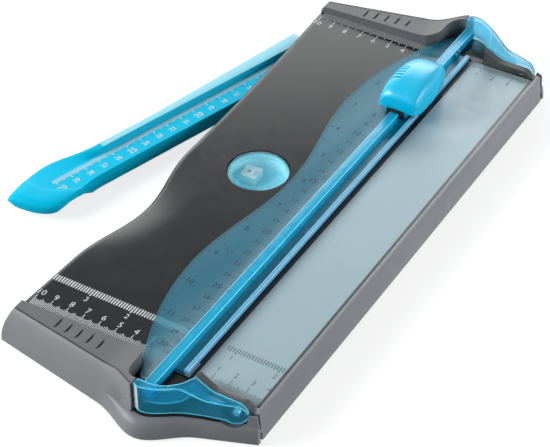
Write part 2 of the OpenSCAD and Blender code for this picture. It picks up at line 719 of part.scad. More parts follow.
// Black slider that wraps the ridge, with ribs in the ridge's grooves and a foot in the channel
module head_carriage() {
    top = deck_h + ridge_h + slide_gap;
    keeper_z = plate_z + clear_t + 0.6;
    under = plate_z + clear_t + slide_gap;
    rib = keeper_d - slide_gap;
    inner_l = ridge_left - slide_gap;
    inner_r = ridge_right + slide_gap;
    color(black) difference() {
        translate([0, head_y + carriage_l / 2, 0]) rotate([90, 0, 0]) linear_extrude(carriage_l) polygon([
            [inner_l - carriage_wall, under], [inner_l, under], [inner_l, keeper_z + slide_gap],
            [inner_l + slide_gap + rib, keeper_z + slide_gap], [inner_l + slide_gap + rib, keeper_z + 1.2 - slide_gap],
            [inner_l, keeper_z + 1.2 - slide_gap], [inner_l, top], [inner_r, top],
            [inner_r, keeper_z + 1.2 - slide_gap], [inner_r - slide_gap - rib, keeper_z + 1.2 - slide_gap],
            [inner_r - slide_gap - rib, keeper_z + slide_gap], [inner_r, keeper_z + slide_gap], [inner_r, under],
            [inner_r + carriage_wall, under], [inner_r + carriage_wall, carriage_top],
            [inner_l - carriage_wall, carriage_top]
        ]);
        translate([(ridge_left + ridge_right) / 2, head_y, carriage_top - spring_seat])
            cylinder(r = spring_r + 0.3, h = spring_seat + 1);
    }
}
// Press spring: one wire swept along a helix
module press_spring() {
    low = carriage_top - spring_seat + spring_wire_r;
    high = head_top - head_t - fit_gap - spring_wire_r;
    per_turn = 12;
    sides = 6;
    n = spring_turns * per_turn;
    mid_r = spring_r - spring_wire_r;
    color(steel) translate([(ridge_left + ridge_right) / 2, head_y, 0]) loft([
        for (i = [0 : n]) let (a = 360 * i / per_turn, z = mix(low, high, i / n))
            [for (j = [0 : sides - 1]) let (b = 360 * j / sides)
                [cos(a) * (mid_r + spring_wire_r * cos(b)), sin(a) * (mid_r + spring_wire_r * cos(b)),
                    z + spring_wire_r * sin(b)]]
    ]);
}
cartridge_left = -5.2;
cartridge_right = 1.2;
cartridge_l = 2 * blade_r + 3;
stem_w = 3.7;
stem_l = 12;
// Holder that takes the blade in a slot and its axle across it
module blade_cartridge() {
    top = blade_z + blade_r + 0.6;
    low = deck_h + lip_h + press_stroke + head_clear;
    color("#e8edf0") difference() {
        union() {
            translate([cartridge_left, head_y - cartridge_l / 2, low])
                cube([cartridge_right - cartridge_left, cartridge_l, blade_z - low]);
            // Stem that seats under the cover's top
            translate([cartridge_left, head_y - stem_l / 2, blade_z])
                cube([stem_w, stem_l, head_top - head_t - 2.4 - blade_z]);
            intersection() {
                rod_x(head_y, blade_z, blade_r + 0.6, cartridge_left, cartridge_right);
                translate([cartridge_left, head_y - cartridge_l / 2, low])
                    cube([cartridge_right - cartridge_left, cartridge_l, top - low]);
            }
        }
        translate([-blade_t / 2 - blade_gap, head_y - blade_r - blade_gap, low - 1])
            cube([blade_t + 2 * blade_gap, 2 * (blade_r + blade_gap), top - low + 2]);
        rod_x(head_y, blade_z, axle_r + fit_gap / 4, cartridge_left + 1.5, cartridge_right + 1);
    }
}
module blade_axle() {
    color(steel) rod_x(head_y, blade_z, axle_r, cartridge_left + 1.5, cartridge_right);
}
module round_blade(r, hole, t, bevel) {
    difference() {
        rotate_extrude() polygon([[hole, -t / 2], [r - bevel, -t / 2], [r, 0], [r - bevel, t / 2], [hole, t / 2]]);
        for (a = [0 : 120 : 240]) rotate(a) translate([r * 0.55, 0, -t]) cylinder(r = r * 0.1, h = 2 * t);
    }
}
module rotary_blade() {
    color(steel) translate([0, head_y, blade_z]) rotate([0, 90, 0])
        round_blade(blade_r, axle_r + run_gap, blade_t, 0.9);
}

// Storage well

cup_r = lid_r + lid_gap - fit_gap;
cup_floor_z = floor_top + fit_gap;
cup_rim_z = deck_h - lid_t;
flange_r = cup_r + 3.4;
flange_t = 1.4;
module storage_cup() {
    color(black) translate([well_x, well_y, 0]) difference() {
        union() {
            translate([0, 0, cup_floor_z]) cylinder(r = cup_r, h = cup_rim_z - cup_floor_z);
            translate([0, 0, deck_under - flange_t]) cylinder(r = flange_r, h = flange_t);
        }
        translate([0, 0, cup_floor_z + cup_t]) cylinder(r = cup_r - cup_t, h = cup_rim_z);
    }
}
module storage_lid() {
    notch_r = 1.6;
    spigot_h = 1.4;
    color(clear_blue) translate([well_x, well_y, 0]) difference() {
        union() {
            translate([0, 0, cup_rim_z]) cylinder(r = lid_r, h = lid_t);
            translate([0, 0, cup_rim_z - spigot_h]) difference() {
                cylinder(r = cup_r - cup_t - fit_gap, h = spigot_h + eps);
                translate([0, 0, -1]) cylinder(r = cup_r - 2 * cup_t - fit_gap, h = spigot_h + 1);
            }
        }
        for (a = [40, 220]) rotate(a) translate([lid_r, 0, cup_rim_z - 1]) cylinder(r = notch_r, h = lid_t + 2);
    }
}
spare_x = well_x - 7;
spare_y = well_y + 3.4;
spare_z = cup_floor_z + cup_t;
spare_w = 9.4;
spare_l = 10;
spare_h = 5;
// Spare blade in its little case
module spare_cartridge() {
    color("#dfeaee") difference() {
        translate([spare_x - spare_w / 2, spare_y - spare_l / 2, spare_z]) cube([spare_w, spare_l, spare_h]);
        translate([spare_x - 1.2, spare_y, spare_z - 1]) cylinder(r = axle_r, h = spare_h + 2);
        translate([spare_x + spare_w / 2, spare_y, spare_z + spare_h - 1]) cylinder(r = spare_w / 3, h = 2);
    }
}

// Extension ruler, drawn along +X from its pivot, then turned to its place

ridge_start = 19;
ridge_end = 140;
flare_out_s = 212;
flare_in_s = 224;
flare_reach = 34;
tip_t = 12.5;
// Sides of the ruler at distance s from the pivot: the fence side and the table side
function ruler_out(s) =
    s < flare_out_s
        ? mix(17.5, 12.2, clamp01((s - ridge_start) / (ridge_end - ridge_start)))
            + 6.8 * bell((s - flare_out_s) / flare_reach)
        : 19 - (19 - tip_t) * pow((s - flare_out_s) / (ruler_l - flare_out_s), 2);
function ruler_in(s) =
    s < flare_in_s
        ? ruler_right + (handle_right - ruler_right) * bell((s - flare_in_s) / flare_reach)
        : handle_right - (handle_right + tip_t - 1) * pow((s - flare_in_s) / (ruler_l - flare_in_s), 2);
function ruler_outline(inset, s0, s1) = let (ss = steps(s0, s1, 5)) concat(
    [for (s = ss) [s, -ruler_out(s) + inset]],
    [for (i = [len(ss) - 1 : -1 : 0]) [ss[i], ruler_in(ss[i]) - inset]]
);
module ruler_shape() {
    hub_r = 11;
    difference() {
        union() {
            slab(ruler_outline(0, ridge_start, ruler_l), ruler_z, ruler_face_z);
            translate([0, -ridge_foot, ruler_z]) cube([ridge_start + 1, ridge_foot + ruler_right, ruler_face_z - ruler_z]);
            translate([0, 0, ruler_z]) cylinder(r = hub_r, h = ruler_face_z - ruler_z);
            // Fence along the outer side, and the raised handle
            difference() {
                slab(ruler_outline(0, ridge_start, ruler_l), ruler_z, ruler_ridge_z);
                translate([ridge_start - 1, -ridge_foot, ruler_face_z])
                    cube([handle_s - ridge_start + 1, ridge_foot + handle_right, ruler_ridge_z]);
                translate([handle_s, ruler_right + 2, ruler_face_z])
                    cylinder(r = ridge_foot + ruler_right + 2, h = ruler_ridge_z);
            }
        }
        // Hollow underside
        slab(ruler_outline(ruler_t, ridge_start + ruler_t, ruler_l - 4 * ruler_t), ruler_z - 1, ruler_face_z - ruler_t);
        translate([0, 0, ruler_z - 1]) cylinder(r = boss_r + run_gap, h = ruler_face_z + 1);
        translate([0, 0, ruler_z - 1]) cylinder(r = hub_r - ruler_t, h = 2.7);
    }
}
module extension_ruler() {
    color(cyan) translate([pivot_x, pivot_y, 0]) rotate(-90 - ruler_angle) ruler_shape();
}
module ruler_washer() {
    color(steel) translate([pivot_x, pivot_y, ruler_z + 0.7]) difference() {
        cylinder(r = boss_r + 3.5, h = 0.8);
        translate([0, 0, -1]) cylinder(r = screw_r + run_gap, h = 3);
    }
}
module ruler_pivot_screw() {
    color(steel) translate([pivot_x, pivot_y, 0]) {
        translate([0, 0, ruler_z - 0.8]) cylinder(r = screw_head_r, h = 1.5);
        translate([0, 0, ruler_z]) cylinder(r = screw_r, h = screw_tip - ruler_z);
    }
}

base_tray();
front_end_cap();
rear_end_cap();
deck();
front_fence();
rear_fence();
offcut_panel();
cutting_strip();
rubber_feet();
tray_screws();
front_hinge_pin();
rear_hinge_pin();
clamp_plate();
guide_rail();
front_hinge_bracket();
rear_hinge_bracket();
head_carriage();
press_spring();
head_cover();
blade_cartridge();
blade_axle();
rotary_blade();
storage_cup();
storage_lid();
spare_cartridge();
extension_ruler();
ruler_washer();
ruler_pivot_screw();
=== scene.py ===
import bmesh
import bpy
from math import ceil, cos, pi, radians, sin, sqrt
from mathutils import Matrix, Vector


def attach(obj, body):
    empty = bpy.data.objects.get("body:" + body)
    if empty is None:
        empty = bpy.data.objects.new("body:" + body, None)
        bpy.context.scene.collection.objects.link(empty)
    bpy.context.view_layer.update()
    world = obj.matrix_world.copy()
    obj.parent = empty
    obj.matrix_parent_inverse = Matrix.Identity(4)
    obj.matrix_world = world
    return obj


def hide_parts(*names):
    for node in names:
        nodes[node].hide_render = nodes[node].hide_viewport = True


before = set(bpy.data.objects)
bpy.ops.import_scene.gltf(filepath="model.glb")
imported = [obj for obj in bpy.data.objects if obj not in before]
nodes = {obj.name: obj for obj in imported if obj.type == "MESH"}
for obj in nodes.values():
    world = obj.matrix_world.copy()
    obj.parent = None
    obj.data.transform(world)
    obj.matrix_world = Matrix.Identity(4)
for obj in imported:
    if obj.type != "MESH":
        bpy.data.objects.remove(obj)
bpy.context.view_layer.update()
scene = bpy.context.scene
MM = 0.001


# Small functions; all sizes of the part are in millimetres

def clamp(t):
    return min(max(t, 0.0), 1.0)


def ease(t):
    u = clamp(t)
    return u * u * (3 - 2 * u)


def mix(a, b, t):
    return a + (b - a) * t


def bell(t):
    return cos(pi / 2 * min(max(t, -1.0), 1.0)) ** 2


def bulge(t):
    """Quarter round: rises steeply from 0 at 0 and is level where it reaches 1 at 1."""
    return sqrt(1 - (1 - clamp(t)) ** 2)


def along(x, stops):
    """Value at x on the straight runs between stops of (place, value)."""
    for (x0, v0), (x1, v1) in zip(stops, stops[1:]):
        if x <= x1:
            return mix(v0, v1, clamp((x - x0) / (x1 - x0)))
    return stops[-1][1]


def steps(a, b, step):
    n = max(1, ceil(abs(b - a) / step))
    return [mix(a, b, i / n) for i in range(n + 1)]


# Camera at the photograph's viewing angle

CAMERA_TURN, CAMERA_RISE, CAMERA_ROLL = radians(31.08), radians(40.29), radians(-0.34)
CAMERA_TARGET = Vector((-0.02328, -0.03366, 0.017))
CAMERA_DISTANCE = 1.02192
CAMERA_LENS = 123.8


def make_camera():
    back = Vector((
        sin(CAMERA_TURN) * cos(CAMERA_RISE),
        -cos(CAMERA_TURN) * cos(CAMERA_RISE),
        sin(CAMERA_RISE),
    ))
    level = Vector((cos(CAMERA_TURN), sin(CAMERA_TURN), 0))
    upright = back.cross(level)
    right = level * cos(CAMERA_ROLL) + upright * sin(CAMERA_ROLL)
    up = upright * cos(CAMERA_ROLL) - level * sin(CAMERA_ROLL)
    cam = bpy.data.cameras.new("camera")
    cam.sensor_fit = "HORIZONTAL"
    cam.sensor_width = 36
    cam.lens = CAMERA_LENS
    cam.clip_end = 10
    obj = bpy.data.objects.new("camera", cam)
    scene.collection.objects.link(obj)
    place = CAMERA_TARGET + back * CAMERA_DISTANCE
    obj.matrix_world = Matrix.Translation(place) @ Matrix((right, up, back)).transposed().to_4x4()
    scene.camera = obj


# Materials

def add_node(tree, kind, **values):
    node = tree.nodes.new(kind)
    for key, value in values.items():
        setattr(node, key, value)
    return node


def noise(tree, coords, scale, detail=3.0):
    node = add_node(tree, "ShaderNodeTexNoise")
    node.inputs["Scale"].default_value = scale
    node.inputs["Detail"].default_value = detail
    tree.links.new(coords, node.inputs["Vector"])
    return node.outputs["Fac"]


def spread(tree, value, low, high):
    node = add_node(tree, "ShaderNodeMapRange")
    node.inputs["From Min"].default_value = 0.3
    node.inputs["From Max"].default_value = 0.7
    node.inputs["To Min"].default_value = low
    node.inputs["To Max"].default_value = high
    tree.links.new(value, node.inputs["Value"])
    return node.outputs["Result"]


def color_sockets(sockets):
    return [s for s in sockets if s.type == "RGBA"]


def paint_bands(tree, coords, axis, bands, tint):
    """Colours that change along one axis; here they paint shade on the tray's land and a reflection on the
    clear rail's lip.
    """
    split = add_node(tree, "ShaderNodeSeparateXYZ")
    tree.links.new(coords, split.inputs[0])
    low, high = bands[0][0], bands[-1][0]
    share = add_node(tree, "ShaderNodeMapRange")
    share.inputs["From Min"].default_value = low * MM
    share.inputs["From Max"].default_value = high * MM
    tree.links.new(split.outputs[axis], share.inputs["Value"])
    for socket in color_sockets(tint.inputs):
        ramp = add_node(tree, "ShaderNodeValToRGB")
        scale = 0.95 if socket.name == "A" else 1.05
        stops = ramp.color_ramp.elements
        for place, _ in bands[1:-1]:
            stops.new((place - low) / (high - low))
        for stop, (_, color) in zip(stops, bands):
            stop.color = (*[min(c * scale, 1) for c in color], 1)
        tree.links.new(share.outputs["Result"], ramp.inputs["Fac"])
        tree.links.new(ramp.outputs["Color"], socket)


def surface(
    name, color, rough, vary=0.08, cloud=35, grain=1500, bump=0.05, stretch=(1, 1, 1), bands=None, **sockets
):
    """Moulded surface: cloudy colour, uneven gloss and a fine grain; sockets are set on the shader itself."""
    mat = bpy.data.materials.new(name)
    mat.use_nodes = True
    tree = mat.node_tree
    shader = tree.nodes["Principled BSDF"]
    coords = add_node(tree, "ShaderNodeTexCoord").outputs["Object"]
    scaled = add_node(tree, "ShaderNodeMapping")
    scaled.inputs["Scale"].default_value = stretch
    tree.links.new(coords, scaled.inputs["Vector"])
    place = scaled.outputs["Vector"]
    tint = add_node(tree, "ShaderNodeMix", data_type="RGBA")
    for socket in color_sockets(tint.inputs):
        share = 1 - vary if socket.name == "A" else 1 + vary
        socket.default_value = (*[min(c * share, 1) for c in color], 1)
    tree.links.new(spread(tree, noise(tree, place, cloud), 0, 1), tint.inputs["Factor"])
    if bands:
        paint_bands(tree, coords, *bands, tint)
    tree.links.new(color_sockets(tint.outputs)[0], shader.inputs["Base Color"])
    gloss = spread(tree, noise(tree, place, cloud * 4), rough * 0.88, rough * 1.12)
    tree.links.new(gloss, shader.inputs["Roughness"])
    relief = add_node(tree, "ShaderNodeBump")
    relief.inputs["Strength"].default_value = bump
    relief.inputs["Distance"].default_value = 0.03 * MM
    tree.links.new(noise(tree, place, grain, 2.0), relief.inputs["Height"])
    tree.links.new(relief.outputs["Normal"], shader.inputs["Normal"])
    for key, value in sockets.items():
        shader.inputs[key.replace("_", " ")].default_value = value
    return mat


# The tray's right wall keeps its own grey; the land left of it gets a darker grey as painted shade on the
# same plastic.
TRAY_GREY, LAND_SHADE_GREY = (0.175, 0.185, 0.205), (0.05, 0.052, 0.056)
MOULDED = dict(vary=0.05, grain=2600)
POLISHED = dict(vary=0.03, cloud=12, grain=900, bump=0.01)
BEADED = dict(vary=0.04, cloud=60, grain=400, bump=0.01)
SATIN = dict(vary=0.02, grain=1800, bump=0.02)
INK = dict(grain=4000, bump=0.08)

DARK = surface("fence_plastic", (0.13, 0.134, 0.142), 0.45, bump=0.1, Specular_IOR_Level=0.16, **MOULDED)
WALL = surface("wall_plastic", (0.18, 0.186, 0.2), 0.45, bump=0.12, Specular_IOR_Level=0.35, **MOULDED)
# Tray: painted shade left of x 40.9, where the land is darker grey than the right wall.
TRAY = surface(
    "tray_plastic", TRAY_GREY, 0.42, bump=0.12, bands=("X", [(40.9, LAND_SHADE_GREY), (42.0, TRAY_GREY)]), **MOULDED
)
# Dark grey for the strip beside the off-cut panel: painted shade.
PANEL_SHADE_GREY = surface("painted_shade_grey", (0.06, 0.063, 0.07), 0.45, vary=0.08, grain=2600, bump=0.1)
DECK = surface(
    "deck_plastic", (0.006, 0.0085, 0.0095), 0.19, vary=0.06, grain=2600, bump=0.02, Specular_IOR_Level=0.21
)
PANEL = surface(
    "frosted_panel", (0.33, 0.455, 0.505), 0.42, vary=0.02, grain=3000, bump=0.06, Specular_IOR_Level=0.35
)
CLEAR = surface(
    "clear_plate", (0.04, 0.42, 0.62), 0.31, Transmission_Weight=0.62, IOR=1.2, Alpha=0.45, **POLISHED
)
# Colours across the clear rail by x: lighter over the ridge top, darker over the channel, and paler over the
# lip, where the pale tone is a painted reflection of the sky.
RAIL_BANDS = [
    (-14, (0.03, 0.42, 0.62)),
    (-12.4, (0.0, 0.36, 0.62)),
    (-11.6, (0.0, 0.52, 0.85)),
    (-8.6, (0.0, 0.50, 0.82)),
    (-7.8, (0.0, 0.27, 0.40)),
    (-3.2, (0.0, 0.30, 0.44)),
    (-2.5, (0.20, 0.50, 0.84)),
]
RAIL = surface(
    "clear_rail", (0.0, 0.40, 0.68), 0.28, Alpha=0.72, IOR=1.4, bands=("X", RAIL_BANDS), **POLISHED
)
SHELL = surface(
    "clear_shell", (0.03, 0.62, 0.92), 0.31, Transmission_Weight=0.66, IOR=1.2, Alpha=0.46, **POLISHED
)
LID = surface("clear_lid", (0.16, 0.70, 0.90), 0.14, Alpha=0.11, IOR=1.5, **POLISHED)
# Dark and bright bead finishes: painted shade and painted highlights along the edges of the clear mouldings.
RIM = surface("painted_edge_shade", (0.03, 0.13, 0.18), 0.15, **BEADED)
EDGE = surface("painted_edge_highlight", (0.22, 0.80, 0.98), 0.15, **BEADED)
FROST = surface("frosted_end", (0.50, 0.62, 0.72), 0.4, vary=0.05, cloud=60, grain=1200, bump=0.03)
CYAN = surface("cyan_plastic", (0.0, 0.54, 0.86), 0.3, Specular_IOR_Level=0.5, **SATIN)
RULER = surface("ruler_plastic", (0.0, 0.53, 0.80), 0.5, Specular_IOR_Level=0.06, **SATIN)
# The ruler's ridge top gets a paler, glossier finish: a painted reflection of the light along the ridge.
RIDGE = surface("ruler_ridge_sheen", (0.22, 0.66, 0.80), 0.35, Specular_IOR_Level=0.4, **SATIN)
BLACK = surface(
    "black_plastic", (0.008, 0.008, 0.009), 0.45, vary=0.2, grain=2400, bump=0.1, Specular_IOR_Level=0.3
)
WHITE = surface("white_plastic", (0.72, 0.78, 0.80), 0.35, vary=0.04, grain=2000, bump=0.06)
CUP = surface("pale_cup", (0.36, 0.86, 0.97), 0.35, vary=0.04, grain=2000, bump=0.05)
STEEL = surface(
    "ground_steel", (0.62, 0.63, 0.65), 0.28, vary=0.06, cloud=300, grain=2600, bump=0.12, stretch=(1, 6, 1),
    Metallic=1.0,
)
RUBBER = surface("rubber", (0.018, 0.018, 0.019), 0.8, vary=0.2, grain=1800, bump=0.4)
PRINT_WHITE = surface("white_print", (0.62, 0.65, 0.66), 0.5, vary=0.05, **INK)
PRINT_DARK = surface("dark_print", (0.015, 0.045, 0.065), 0.5, vary=0.15, Specular_IOR_Level=0.1, **INK)
PRINT_GREY = surface("grey_print", (0.15, 0.2, 0.21), 0.5, vary=0.12, Specular_IOR_Level=0.1, **INK)


# Node groups that weld and shade the solids

def make_group(name):
    group = bpy.data.node_groups.new(name, "GeometryNodeTree")
    group.interface.new_socket("Geometry", in_out="INPUT", socket_type="NodeSocketGeometry")
    group.interface.new_socket("Geometry", in_out="OUTPUT", socket_type="NodeSocketGeometry")
    start = group.nodes.new("NodeGroupInput").outputs[0]
    end = group.nodes.new("NodeGroupOutput").inputs[0]
    return group, start, end


def chain(group, start, *made):
    for node in made:
        group.links.new(start, node.inputs["Geometry" if "Geometry" in node.inputs else "Mesh"])
        start = node.outputs[0]
    return start


def weld_group():
    group, start, end = make_group("weld")
    merge = group.nodes.new("GeometryNodeMergeByDistance")
    merge.inputs["Distance"].default_value = 0.004 * MM
    plain = group.nodes.new("GeometryNodeRemoveAttribute")
    plain.inputs["Name"].default_value = "custom_normal"
    group.links.new(chain(group, start, merge, plain), end)
    return group


def shade_group(degrees):
    """Smooth faces with sharp edges where two faces meet at more than the given angle."""
    group, start, end = make_group("shade")
    faces = group.nodes.new("GeometryNodeSetShadeSmooth")
    edges = group.nodes.new("GeometryNodeSetShadeSmooth")
    edges.domain = "EDGE"
    edges.inputs["Shade Smooth"].default_value = False
    angle = group.nodes.new("GeometryNodeInputMeshEdgeAngle")
    test = group.nodes.new("FunctionNodeCompare")
    test.operation = "GREATER_THAN"
    test.inputs["B"].default_value = radians(degrees)
    group.links.new(angle.outputs["Unsigned Angle"], test.inputs["A"])
    group.links.new(test.outputs["Result"], edges.inputs["Selection"])
    group.links.new(chain(group, start, faces, edges), end)
    return group


SHARP_ANGLE = 32
WELD = weld_group()
SHADE = shade_group(SHARP_ANGLE)
SHADE_ALL = shade_group(75)


def add_group(obj, name, group):
    mod = obj.modifiers.new(name, "NODES")
    mod.node_group = group


def round_edges(obj, width):
    bevel = obj.modifiers.new("round", "BEVEL")
    bevel.width = width * MM
    bevel.segments = 2
    bevel.limit_method = "ANGLE"
    bevel.angle_limit = radians(SHARP_ANGLE)
    bevel.use_clamp_overlap = True
    add_group(obj, "shade", SHADE)


def even_shading(obj):
    """Large flat faces keep their own direction beside rounded edges."""
    even = obj.modifiers.new("even", "WEIGHTED_NORMAL")
    even.keep_sharp = True


def dress(mat, width, *names):
    """A CAD solid keeps its shape and gets rounded edges and a finish."""
    for name in names:
        obj = nodes[name]
        obj.data.materials.clear()
        obj.data.materials.append(mat)
        add_group(obj, "weld", WELD)
        round_edges(obj, width)


# Mesh pieces

MERGE, SLIVER = 0.002, 0.001


def raw(name, points, faces):
    mesh = bpy.data.meshes.new(name)
    mesh.from_pydata([(x * MM, y * MM, z * MM) for x, y, z in points], [], faces)
    work = bmesh.new()
    work.from_mesh(mesh)
    bmesh.ops.remove_doubles(work, verts=work.verts, dist=MERGE * MM)
    bmesh.ops.dissolve_degenerate(work, edges=work.edges, dist=SLIVER * MM)
    bmesh.ops.recalc_face_normals(work, faces=work.faces)
    work.to_mesh(mesh)
    work.free()
    obj = bpy.data.objects.new(name, mesh)
    scene.collection.objects.link(obj)
    return obj


def skin(name, rings):
    """A closed solid over rings that have the same number of points."""
    n, m = len(rings[0]), len(rings)
    faces = [list(range(n)), list(range((m - 1) * n, m * n))[::-1]]
    for i in range(m - 1):
        for j in range(n):
            k = (j + 1) % n
            faces.append([i * n + j, i * n + k, (i + 1) * n + k, (i + 1) * n + j])
    return raw(name, [p for ring in rings for p in ring], faces)


def prism(outline, z0, z1, name="cutter"):
    return skin(name, [[(x, y, z) for x, y in outline] for z in (z0, z1)])


def slab(outline, y0, y1, name="cutter"):
    """An outline in x and z, carried from y0 to y1."""
    return skin(name, [[(x, y, z) for x, z in outline] for y in (y0, y1)])


def block(x0, y0, z0, x1, y1, z1, name="cutter"):
    return prism([(x0, y0), (x1, y0), (x1, y1), (x0, y1)], z0, z1, name)


def disc(x, y, r, n=96):
    return [(x + r * cos(2 * pi * i / n), y + r * sin(2 * pi * i / n)) for i in range(n)]


def final_mesh(obj):
    bpy.context.view_layer.update()
    return bpy.data.meshes.new_from_object(obj.evaluated_get(bpy.context.evaluated_depsgraph_get()))


def cut(obj, *tools):
    for tool in tools:
        mod = obj.modifiers.new("cut", "BOOLEAN")
        mod.operation = "DIFFERENCE"
        mod.solver = "EXACT"
        mod.object = tool
    done = final_mesh(obj)
    obj.modifiers.clear()
    obj.data = done
    for tool in tools:
        bpy.data.objects.remove(tool)


def piece(obj, body, mat, width=0.0, stands_for=()):
    obj.data.materials.clear()
    obj.data.materials.append(mat)
    if width:
        round_edges(obj, width)
    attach(obj, body)
    if stands_for:
        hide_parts(*stands_for)
    return obj


# Sizes that several pieces share

FENCE_Y, LAND_Y, END_Y = 156, 156.8, 160.6
DECK_Z, DECK_LOW = 17.0, 14.0
TABLE_W = 103.8
WELL = (-54.9, 1.2)
BAY_X, BAY_Y, BAY_R = -8, 162.3, 16.3
ENDS = (("front", -1), ("rear", 1))


# Outline of the base's ends and height of the fence and hump

END_LEFT_Y, END_APEX_Y, END_RIGHT_Y = 166.9, 184.3, 164.8
LEFT_RUN, RIGHT_RUN, RIGHT_W = 99.1, 50.3, 45.6
END_BLEND = 6
FENCE_LOW_H, FENCE_MID_H, FENCE_RUN = 4.2, 6.4, 65.8
HUMP_X, HUMP_RUN, HUMP_Z = -38, 29, 29.0
BULGE_X = -11
SKIRT_IN, SKIRT_HINGE_IN, SKIRT_BULGE, SKIRT_REACH = 5, 3.6, 5.8, 20
SEAM_IN, SEAM_BULGE, SEAM_REACH = 5.0, 6.2, 22


def end_line(x):
    left = mix(END_LEFT_Y, END_APEX_Y, (x + TABLE_W) / LEFT_RUN)
    right = mix(END_RIGHT_Y, END_APEX_Y, (RIGHT_W - x) / RIGHT_RUN)
    return min(left, right) - max(END_BLEND - abs(left - right), 0) ** 2 / (4 * END_BLEND)


def skirt_line(x):
    """Outside of the bracket, and of the lip below it."""
    inwards = mix(SKIRT_IN, SKIRT_HINGE_IN, ease((x - 14) / 18))
    return end_line(x) - inwards + SKIRT_BULGE * bell((x - BULGE_X) / SKIRT_REACH)


def seam_line(x):
    """Joint between the fence and the end cap."""
    return end_line(x) - SEAM_IN + SEAM_BULGE * bell((x - BULGE_X) / SEAM_REACH)


def crest(x):
    fence = DECK_Z + mix(FENCE_LOW_H, FENCE_MID_H, (x + TABLE_W) / FENCE_RUN)
    return mix(fence, HUMP_Z, ease((x - HUMP_X) / HUMP_RUN))


# Paper table

EDGE_BOW = 4.8
DIP_Y, DIP_IN, DIP_IN_REACH = -57, 7.4, 52
DIP_DOWN, DIP_DOWN_REACH, DIP_WIDTH, DIP_THIN = 1.8, 60, 24, 0.75
ROLL_W, ROLL_H = 2.6, 1.9
ROLL_STEPS = (0, 0.15, 0.5, 1, 1.7, ROLL_W, 4, 6, 8.5, 11, 14, 17, 20, DIP_WIDTH)
TABLE_RIGHT, TONGUE_RIGHT, TONGUE_R = 41.4, 7.3, 15.3
WELL_R = 18.0
PANEL_SEAT = (2.2, -156.4, 15.4, 43, 156.4, 20)
STRIP_SEAT = (-3.6, -157, 14.7, 0.9, 157, 20)


def table_edge(y):
    return TABLE_W - EDGE_BOW * (1 - (y / FENCE_Y) ** 2) - DIP_IN * bell((y - DIP_Y) / DIP_IN_REACH)


def table_ring(y):
    """Section of the table: its left edge rolls down, most of all in the finger dip."""
    edge = -table_edge(y)
    dip = DIP_DOWN * bell((y - DIP_Y) / DIP_DOWN_REACH)
    right = TABLE_RIGHT if abs(y) <= LAND_Y else TONGUE_RIGHT
    ring = []
    for d in ROLL_STEPS:
        roll = ROLL_H * (1 - bulge(d / ROLL_W))
        ring.append((edge + d, y, DECK_Z - roll - dip * (1 - d / DIP_WIDTH) ** 2))
    ring += [(x, y, DECK_Z) for x in (-62, -30, right - 20, right)]
    sag = max(dip - DIP_THIN, 0)
    ring += [(right, y, DECK_LOW), (-30, y, DECK_LOW)]
    ring += [(edge + 6, y, DECK_LOW - sag * 0.5), (edge + 0.7, y, DECK_LOW - sag)]
    return ring


def make_table():
    ys = steps(-LAND_Y, LAND_Y, 3.2)
    ys = [-END_Y, -LAND_Y - 0.02] + ys + [LAND_Y + 0.02, END_Y]
    deck = skin("paper_table", [table_ring(y) for y in ys])
    cut(deck, prism(disc(*WELL, WELL_R), 10, 20), block(*PANEL_SEAT), block(*STRIP_SEAT))
    piece(deck, "base", DECK, 0.25, ["deck"])
    even_shading(deck)
    quarter = [pi / 2 * i / 14 for i in range(15)]
    arc = [(BAY_X + TONGUE_R * sin(a), BAY_Y + TONGUE_R * cos(a)) for a in quarter]
    shape = [(-23.4, 159.5), (-13.2, 177.6)] + arc + [(TONGUE_RIGHT, 159.5)]
    for name, side in ENDS[::-1]:
        tongue = prism([(x, side * y) for x, y in shape], DECK_LOW, DECK_Z - 0.04, name + "_bay")
        piece(tongue, "base", DECK, 0.25)


# Cutter head

HEAD_Y, HEAD_L, HEAD_BASE, HEAD_TOP = 103.0, 44.0, 21.2, 39.5
HEAD_LEFT, HEAD_RIGHT, HEAD_T = -23.6, 3.4, 1.2
HEAD_FRONT = HEAD_Y - HEAD_L / 2
NOSE_SHARE, NOSE_WIDE, NOSE_TALL = 0.42, 0.84, 0.54
TAIL_SHARE, TAIL_WIDE, TAIL_TALL = 0.55, 0.5, 0.42
LEFT_POWER, RIGHT_POWER = 0.7, 0.45
FLANK_STEP, FLANK_H, FOOT_SHARE, SIDE_SHARE = 0.6, 7.8, 0.94, 0.2
SHOULDER = [(-21.6, 32.0), (-19.6, 34.1), (-17.6, 35.5), (-15.4, 36.4), (-13.6, 36.9)]
SLOT_N, SLOT_PITCH, SLOT_HALF = 5, 2.8, 0.7
NOSE_ARCH = [
    (-16.3, 19.8), (-14.1, 19.8), (-14.1, 23.1), (-8.0, 23.1),
    (-8.0, 19.8), (-6.0, 19.8), (-6.0, 24.7), (-16.3, 24.7),
]


